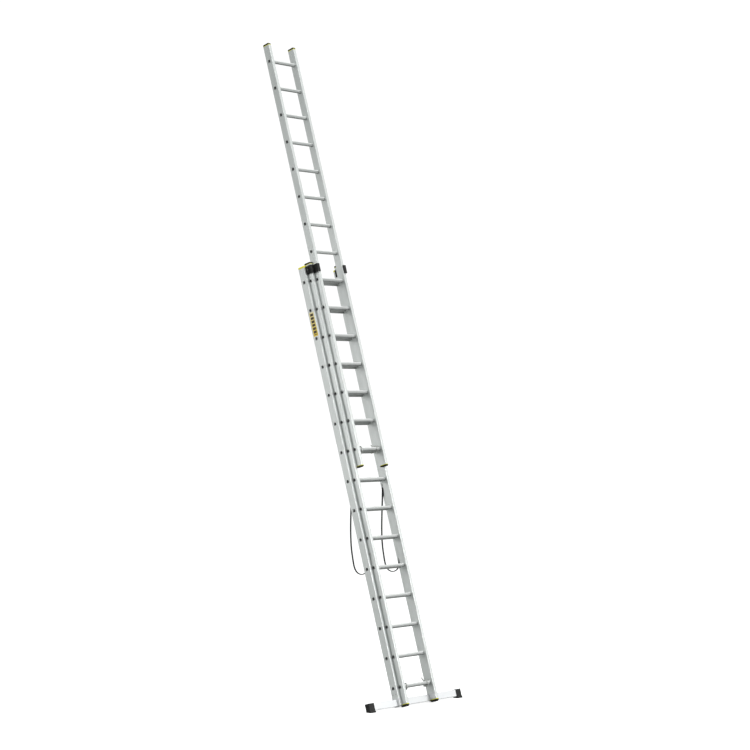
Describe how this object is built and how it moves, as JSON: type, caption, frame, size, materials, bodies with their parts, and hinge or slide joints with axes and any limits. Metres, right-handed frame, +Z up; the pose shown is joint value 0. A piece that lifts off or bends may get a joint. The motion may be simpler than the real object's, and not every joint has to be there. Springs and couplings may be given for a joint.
{
  "type": "extension ladder",
  "caption": "Three-section leaning extension ladder of box-section aluminium with a wide stabiliser beam, plastic guides and caps, and restraint straps.",
  "frame": {"origin": "centre of the bounding box in plan, on the floor under the stabiliser's shoes", "axes": "+Z up from the floor, +X along the rungs to the climber's right, +Y towards the wall the ladder leans on"},
  "size_m": [1.3224, 1.862, 6.2947],
  "materials": {
    "aluminium_profile": "mill finish, satin",
    "aluminium_rung": "mill finish, finely ribbed",
    "aluminium_casting": "cast, matt",
    "zinc_steel": "zinc plated",
    "yellow_plastic": "moulded, slightly glossy",
    "black_plastic": "moulded, matt",
    "black_rubber": "matt",
    "strap_webbing": "woven polyester",
    "label_film": "plain film"
  },
  "bodies": {
    "rear_section": {"rear_stile_left": "aluminium_profile", "rear_stile_right": "aluminium_profile", "rear_rungs": "aluminium_rung", "rear_top_cap_left": "yellow_plastic", "rear_top_cap_right": "yellow_plastic", "stabiliser_bar": "aluminium_profile", "stabiliser_bracket_left": "aluminium_casting", "stabiliser_bracket_right": "aluminium_casting", "bracket_rivets": "zinc_steel", "bar_bolts": "zinc_steel", "bar_nuts": "zinc_steel", "stabiliser_shoe_left": "black_plastic", "stabiliser_shoe_right": "black_plastic", "hinge_ear_left": "black_plastic", "hinge_ear_right": "black_plastic", "pivot_pins": "zinc_steel", "rear_rivets": "zinc_steel", "strap_clip_left": "aluminium_casting", "strap_clip_right": "aluminium_casting", "strap_left": "strap_webbing", "strap_right": "strap_webbing", "label_plate": "label_film"},
    "middle_section": {"middle_stile_left": "aluminium_profile", "middle_stile_right": "aluminium_profile", "middle_rungs": "aluminium_rung", "middle_top_cap_left": "yellow_plastic", "middle_top_cap_right": "yellow_plastic", "middle_cap_pads": "black_rubber", "middle_foot_left": "yellow_plastic", "middle_foot_right": "yellow_plastic", "middle_foot_sole_left": "black_rubber", "middle_foot_sole_right": "black_rubber", "foot_clips": "aluminium_casting", "swing_guide_left": "black_plastic", "swing_guide_right": "black_plastic", "upper_guide_left": "black_plastic", "upper_guide_right": "black_plastic", "strap_anchor_left": "aluminium_casting", "strap_anchor_right": "aluminium_casting", "strap_anchor_bolts": "zinc_steel", "middle_hook_left": "zinc_steel", "middle_hook_right": "zinc_steel", "middle_catch_pins": "zinc_steel"},
    "upper_section": {"upper_stile_left": "aluminium_profile", "upper_stile_right": "aluminium_profile", "upper_rungs": "aluminium_rung", "upper_top_cap_left": "yellow_plastic", "upper_top_cap_right": "yellow_plastic", "upper_cap_pads": "black_rubber", "upper_end_cap_left": "yellow_plastic", "upper_end_cap_right": "yellow_plastic", "upper_end_cap_sole_left": "black_rubber", "upper_end_cap_sole_right": "black_rubber", "upper_hook_left": "zinc_steel", "upper_hook_right": "zinc_steel", "upper_catch_pins": "zinc_steel"},
    "middle_catch_left": {"middle_catch_left": "zinc_steel"},
    "middle_catch_right": {"middle_catch_right": "zinc_steel"},
    "upper_catch_left": {"upper_catch_left": "zinc_steel"},
    "upper_catch_right": {"upper_catch_right": "zinc_steel"}
  },
  "joints": [
    {"name": "middle_hinge", "type": "hinge", "parent": "rear_section", "child": "middle_section", "pos_m": [0, 0.28469, 4.05501], "axis": [-1, 0, 0], "range_deg": [0, 18.5]},
    {"name": "upper_slide", "type": "slide", "parent": "middle_section", "child": "upper_section", "axis": [0, 0.2832, 0.9591], "range_m": [-2.24, 1.12]},
    {"name": "middle_catch_left_pivot", "type": "hinge", "parent": "middle_section", "child": "middle_catch_left", "pos_m": [-0.143, -0.85525, 0.16249], "axis": [1, 0, 0], "range_deg": [-40, 0], "stiffness_Nm_per_rad": 0.3, "springref_deg": 17.19},
    {"name": "middle_catch_right_pivot", "type": "hinge", "parent": "middle_section", "child": "middle_catch_right", "pos_m": [0.143, -0.85525, 0.16249], "axis": [1, 0, 0], "range_deg": [-40, 0], "stiffness_Nm_per_rad": 0.3, "springref_deg": 17.19},
    {"name": "upper_catch_left_pivot", "type": "hinge", "parent": "upper_section", "child": "upper_catch_left", "pos_m": [-0.106, -0.27176, 2.3258], "axis": [1, 0, 0], "range_deg": [-40, 0], "stiffness_Nm_per_rad": 0.3, "springref_deg": 17.19},
    {"name": "upper_catch_right_pivot", "type": "hinge", "parent": "upper_section", "child": "upper_catch_right", "pos_m": [0.106, -0.27176, 2.3258], "axis": [1, 0, 0], "range_deg": [-40, 0], "stiffness_Nm_per_rad": 0.3, "springref_deg": 17.19}
  ]
}
